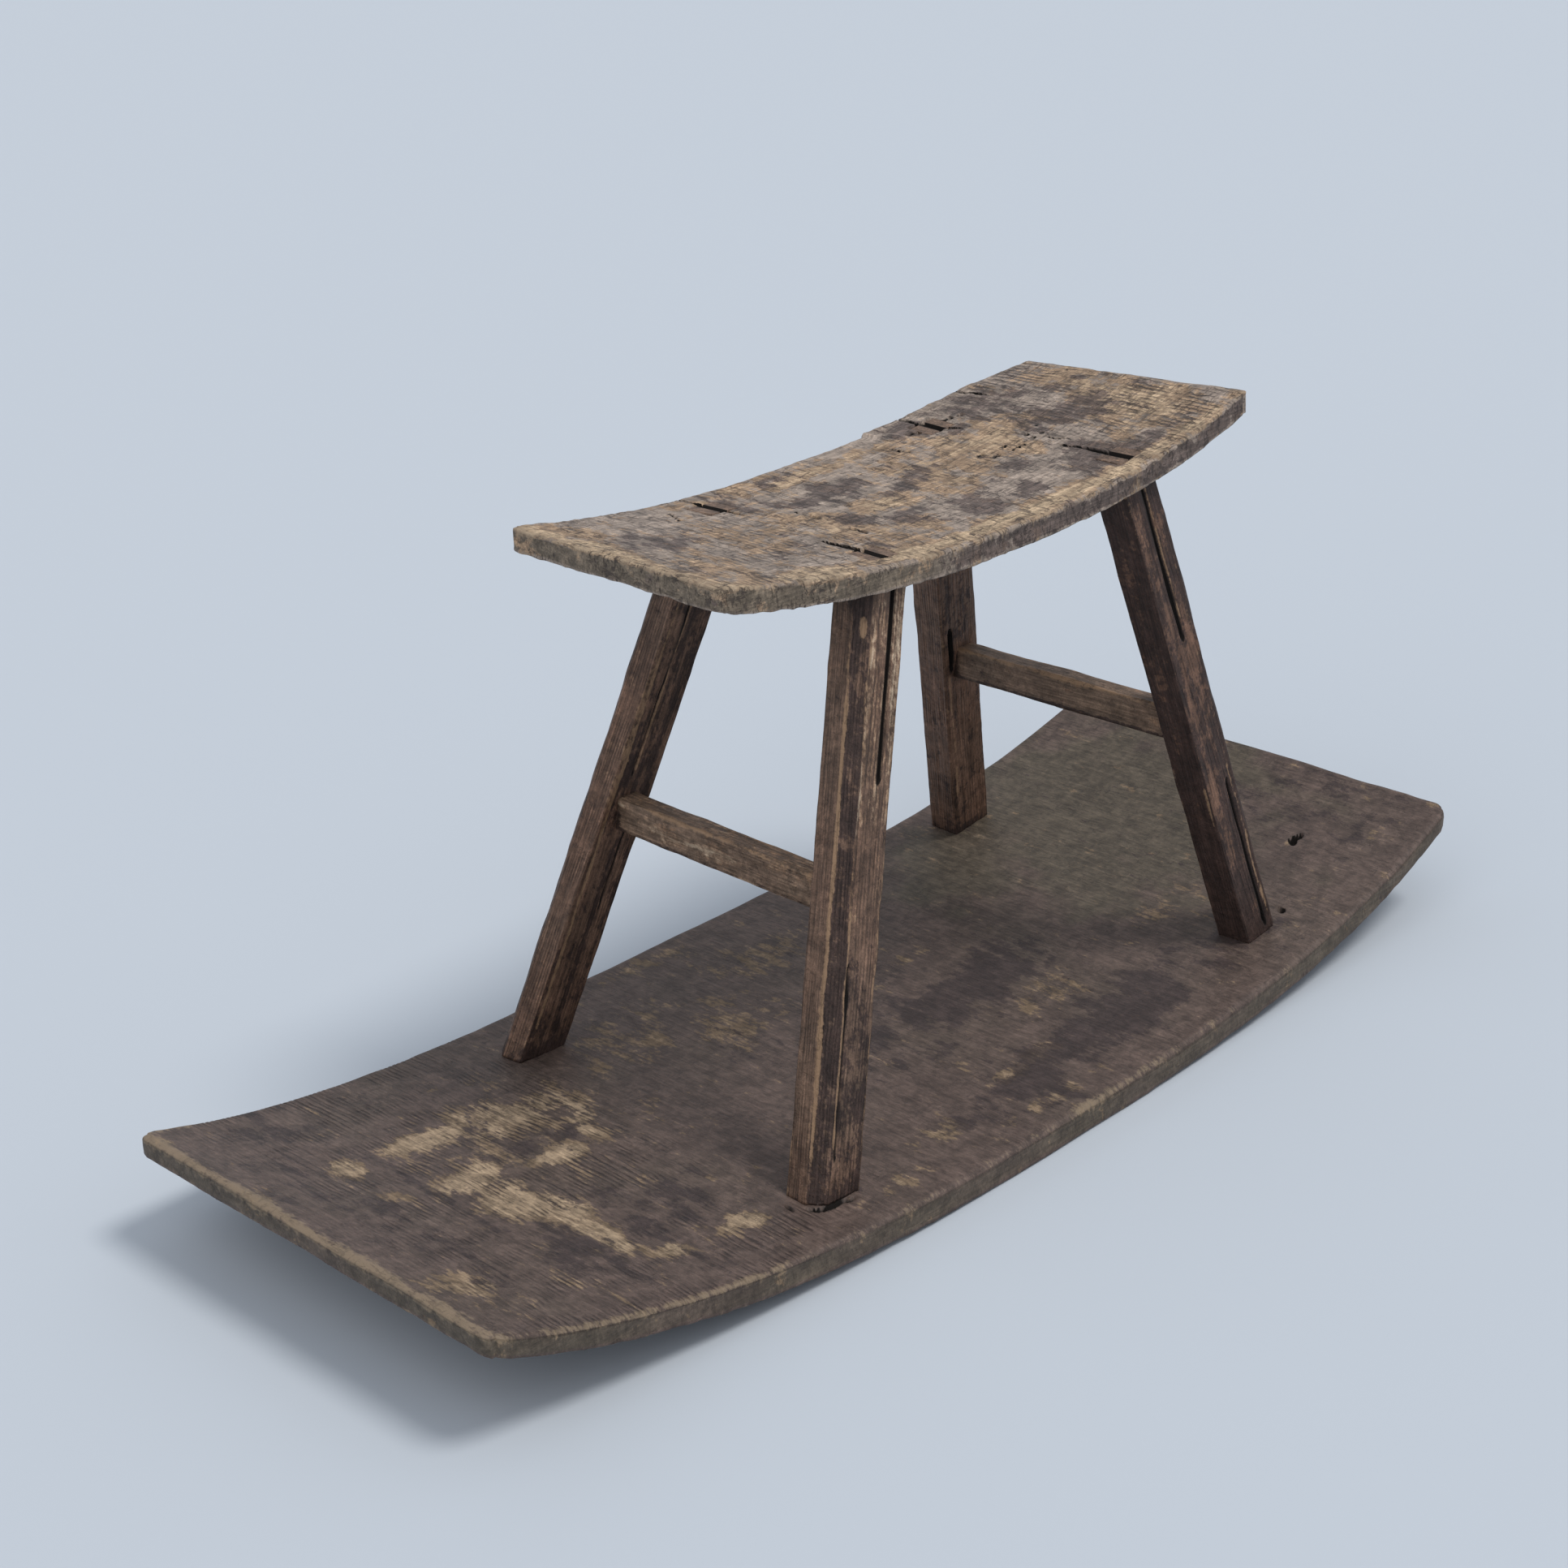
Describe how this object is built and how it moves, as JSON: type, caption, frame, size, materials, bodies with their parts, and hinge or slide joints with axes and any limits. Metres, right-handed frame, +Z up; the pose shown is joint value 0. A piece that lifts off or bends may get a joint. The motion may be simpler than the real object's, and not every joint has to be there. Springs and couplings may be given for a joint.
{
  "type": "rocking bench seesaw",
  "caption": "Old wooden rocking bench: a dished plank seat on splayed, wedged legs that stand in a long curved rocker board.",
  "frame": {"origin": "on the floor, under the middle of the rocker board", "axes": "+X along the rocker board, towards the end that the bench stands nearer to; +Y across the board; +Z up"},
  "size_m": [1.1, 0.4676, 0.4956],
  "materials": {
    "board_wood": "old dark patina, worn tan where feet and edges rub",
    "seat_wood": "worn tan-brown plank with grey-purple stains and rough edges",
    "leg_wood": "rough dark brown with worn orange-tan arrises",
    "stretcher_wood": "warm brown, worn",
    "wedge_wood": "dark, dry end grain"
  },
  "bodies": {
    "root": {"rocker_board": "board_wood", "seat_plank": "seat_wood", "stretcher_left": "stretcher_wood", "leg_front_left": "leg_wood", "wedge_seat_front_left": "wedge_wood", "wedge_foot_front_left": "wedge_wood", "leg_back_left": "leg_wood", "wedge_seat_back_left": "wedge_wood", "wedge_foot_back_left": "wedge_wood", "stretcher_right": "stretcher_wood", "leg_front_right": "leg_wood", "wedge_seat_front_right": "wedge_wood", "wedge_foot_front_right": "wedge_wood", "leg_back_right": "leg_wood", "wedge_seat_back_right": "wedge_wood", "wedge_foot_back_right": "wedge_wood"}
  },
  "joints": []
}
